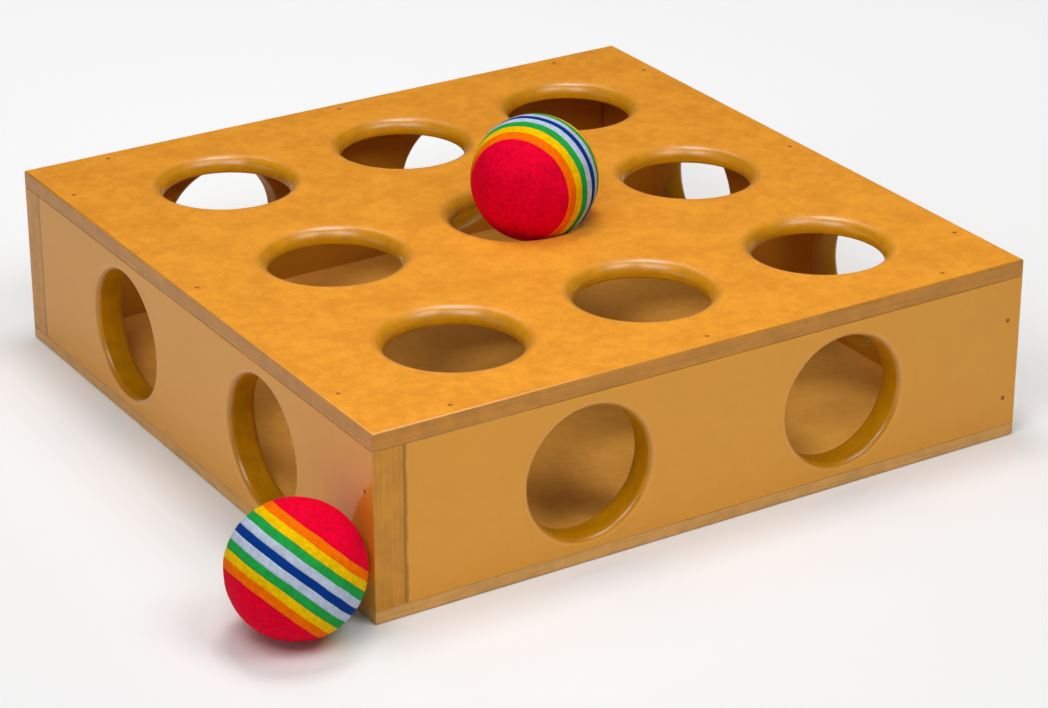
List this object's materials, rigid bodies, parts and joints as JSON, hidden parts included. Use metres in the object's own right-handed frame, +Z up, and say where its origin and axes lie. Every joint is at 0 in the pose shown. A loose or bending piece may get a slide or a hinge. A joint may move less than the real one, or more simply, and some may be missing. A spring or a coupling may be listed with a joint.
{
  "type": "cat play box",
  "caption": "Low square wooden box with rows of rounded paw holes in its top and walls, with striped foam balls that a cat bats in and out of the holes.",
  "frame": {"origin": "middle of the underside of the box", "axes": "+X to the right along the front wall, +Y from the front wall to the back wall, +Z up"},
  "size_m": [0.3883, 0.347, 0.1347],
  "materials": {
    "panel_mdf": "satin",
    "wall_mdf": "satin",
    "brad_steel": "matte",
    "red_foam": "matte",
    "orange_foam": "matte",
    "yellow_foam": "matte",
    "green_foam": "matte",
    "lilac_foam": "matte",
    "navy_foam": "matte"
  },
  "bodies": {
    "box": {"top_panel": "panel_mdf", "bottom_panel": "panel_mdf", "front_wall": "wall_mdf", "right_wall": "wall_mdf", "back_wall": "wall_mdf", "left_wall": "wall_mdf", "top_brads": "brad_steel", "bottom_brads": "brad_steel", "corner_brads": "brad_steel"},
    "upper_ball": {"upper_ball_red_1": "red_foam", "upper_ball_orange_1": "orange_foam", "upper_ball_yellow_1": "yellow_foam", "upper_ball_green_1": "green_foam", "upper_ball_lilac_1": "lilac_foam", "upper_ball_navy": "navy_foam", "upper_ball_lilac_2": "lilac_foam", "upper_ball_green_2": "green_foam", "upper_ball_yellow_2": "yellow_foam", "upper_ball_orange_2": "orange_foam", "upper_ball_red_2": "red_foam"},
    "floor_ball": {"floor_ball_red_1": "red_foam", "floor_ball_orange_1": "orange_foam", "floor_ball_yellow_1": "yellow_foam", "floor_ball_green_1": "green_foam", "floor_ball_lilac_1": "lilac_foam", "floor_ball_navy": "navy_foam", "floor_ball_lilac_2": "lilac_foam", "floor_ball_green_2": "green_foam", "floor_ball_yellow_2": "yellow_foam", "floor_ball_orange_2": "orange_foam", "floor_ball_red_2": "red_foam"}
  },
  "joints": [
    {"name": "upper_ball_roll", "type": "hinge", "parent": "box", "child": "upper_ball", "pos_m": [0.01272, -0.03498, 0.0797], "axis": [0.9703, 0.2419, 0], "range_deg": [-102, 43]},
    {"name": "floor_ball_roll", "type": "slide", "parent": "box", "child": "floor_ball", "axis": [-1, 0, 0], "range_m": [0, 0.15]}
  ]
}
